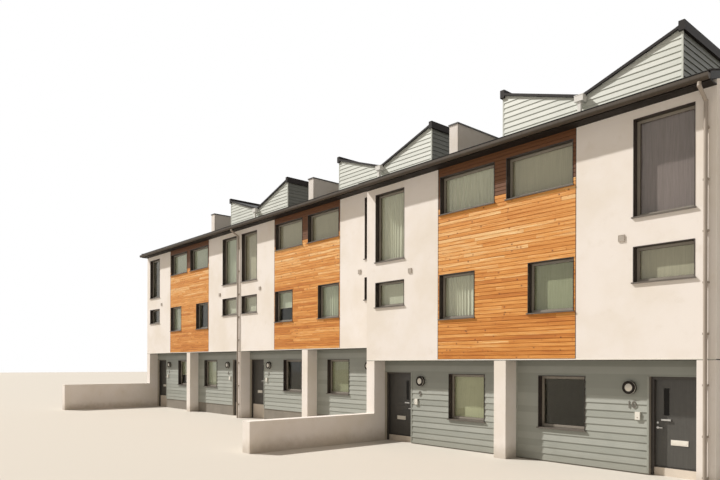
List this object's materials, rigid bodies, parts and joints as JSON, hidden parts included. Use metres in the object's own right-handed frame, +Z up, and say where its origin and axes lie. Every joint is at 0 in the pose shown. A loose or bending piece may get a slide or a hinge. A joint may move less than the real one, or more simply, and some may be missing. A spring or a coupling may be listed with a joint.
{
  "type": "terraced house row",
  "caption": "Row of modern three-storey terraced houses in mirrored pairs, stepped in plan and level, with larch and rendered fronts and valley-roofed boxes.",
  "frame": {"origin": "on the ground plane under the middle of the whole row's box", "axes": "+X along the row, to the right as seen from the street; +Y from the street front to the rear; +Z up"},
  "size_m": [29.76, 16.14, 11.8243],
  "materials": {
    "concrete": "worn, fine grain",
    "floor_timber": "plain boards",
    "render": "fine through-coloured render",
    "wall_frame": "plain sheathing",
    "weatherboard": "painted lap boards, satin",
    "larch": "oiled larch boards",
    "dark_boards": "dark stained boards",
    "roof_tiles": "flat tiles",
    "roof_membrane": "dark sheet",
    "rainwater_metal": "silver grey, satin",
    "grey_metal": "grey, satin",
    "bronze_frames": "bronze grey, satin",
    "liner_metal": "dark bronze, satin",
    "window_glass": "clear",
    "door_frame_paint": "dark grey paint",
    "door_paint": "dark grey paint, satin",
    "door_metal": "satin",
    "pale_plastic": "satin"
  },
  "bodies": {
    "building": {"ground_floors": "concrete", "first_floors": "floor_timber", "second_floors": "floor_timber", "attic_floors": "floor_timber", "party_walls": "render", "party_fins": "render", "ground_front_walls": "wall_frame", "door_head_walls": "wall_frame", "overhang_soffits": "dark_boards", "render_walls": "render", "timber_walls": "wall_frame", "rear_walls": "render", "box_front_walls": "wall_frame", "box_side_walls": "wall_frame", "box_rear_walls": "wall_frame", "larch_cladding": "larch", "ground_cladding": "weatherboard", "box_cladding": "weatherboard", "main_roofs": "roof_tiles", "box_roofs": "roof_membrane", "box_fascias": "dark_boards", "valley_hoppers": "rainwater_metal", "party_upstands": "render", "upstand_copings": "grey_metal", "eaves_boards": "dark_boards", "gutters": "rainwater_metal", "downpipes": "rainwater_metal", "window_sills": "grey_metal", "window_liners": "liner_metal", "front_window_frames": "bronze_frames", "front_window_glass": "window_glass", "rear_window_frames": "bronze_frames", "rear_window_glass": "window_glass", "door_frames": "door_frame_paint", "door_steps": "concrete", "door_lamps": "pale_plastic", "bell_boxes": "pale_plastic", "wall_vents": "pale_plastic", "garden_walls": "render"},
    "door_1": {"door_leaf_1": "door_paint", "door_fittings_1": "door_metal"},
    "door_2": {"door_leaf_2": "door_paint", "door_fittings_2": "door_metal"},
    "door_3": {"door_leaf_3": "door_paint", "door_fittings_3": "door_metal"},
    "door_4": {"door_leaf_4": "door_paint", "door_fittings_4": "door_metal"},
    "door_5": {"door_leaf_5": "door_paint", "door_fittings_5": "door_metal"},
    "door_6": {"door_leaf_6": "door_paint", "door_fittings_6": "door_metal"}
  },
  "joints": [
    {"name": "door_hinge_1", "type": "hinge", "parent": "building", "child": "door_1", "pos_m": [-14.466, -1.89, 0.643], "axis": [0, 0, 1], "range_deg": [0, 85]},
    {"name": "door_hinge_2", "type": "hinge", "parent": "building", "child": "door_2", "pos_m": [-5.134, -1.89, 0.643], "axis": [0, 0, 1], "range_deg": [-85, 0]},
    {"name": "door_hinge_3", "type": "hinge", "parent": "building", "child": "door_3", "pos_m": [-4.666, -1.89, 0.643], "axis": [0, 0, 1], "range_deg": [0, 85]},
    {"name": "door_hinge_4", "type": "hinge", "parent": "building", "child": "door_4", "pos_m": [4.666, -1.89, 0.643], "axis": [0, 0, 1], "range_deg": [-85, 0]},
    {"name": "door_hinge_5", "type": "hinge", "parent": "building", "child": "door_5", "pos_m": [5.134, -2.93, 0.203], "axis": [0, 0, 1], "range_deg": [0, 85]},
    {"name": "door_hinge_6", "type": "hinge", "parent": "building", "child": "door_6", "pos_m": [14.466, -2.93, 0.203], "axis": [0, 0, 1], "range_deg": [-85, 0]}
  ]
}
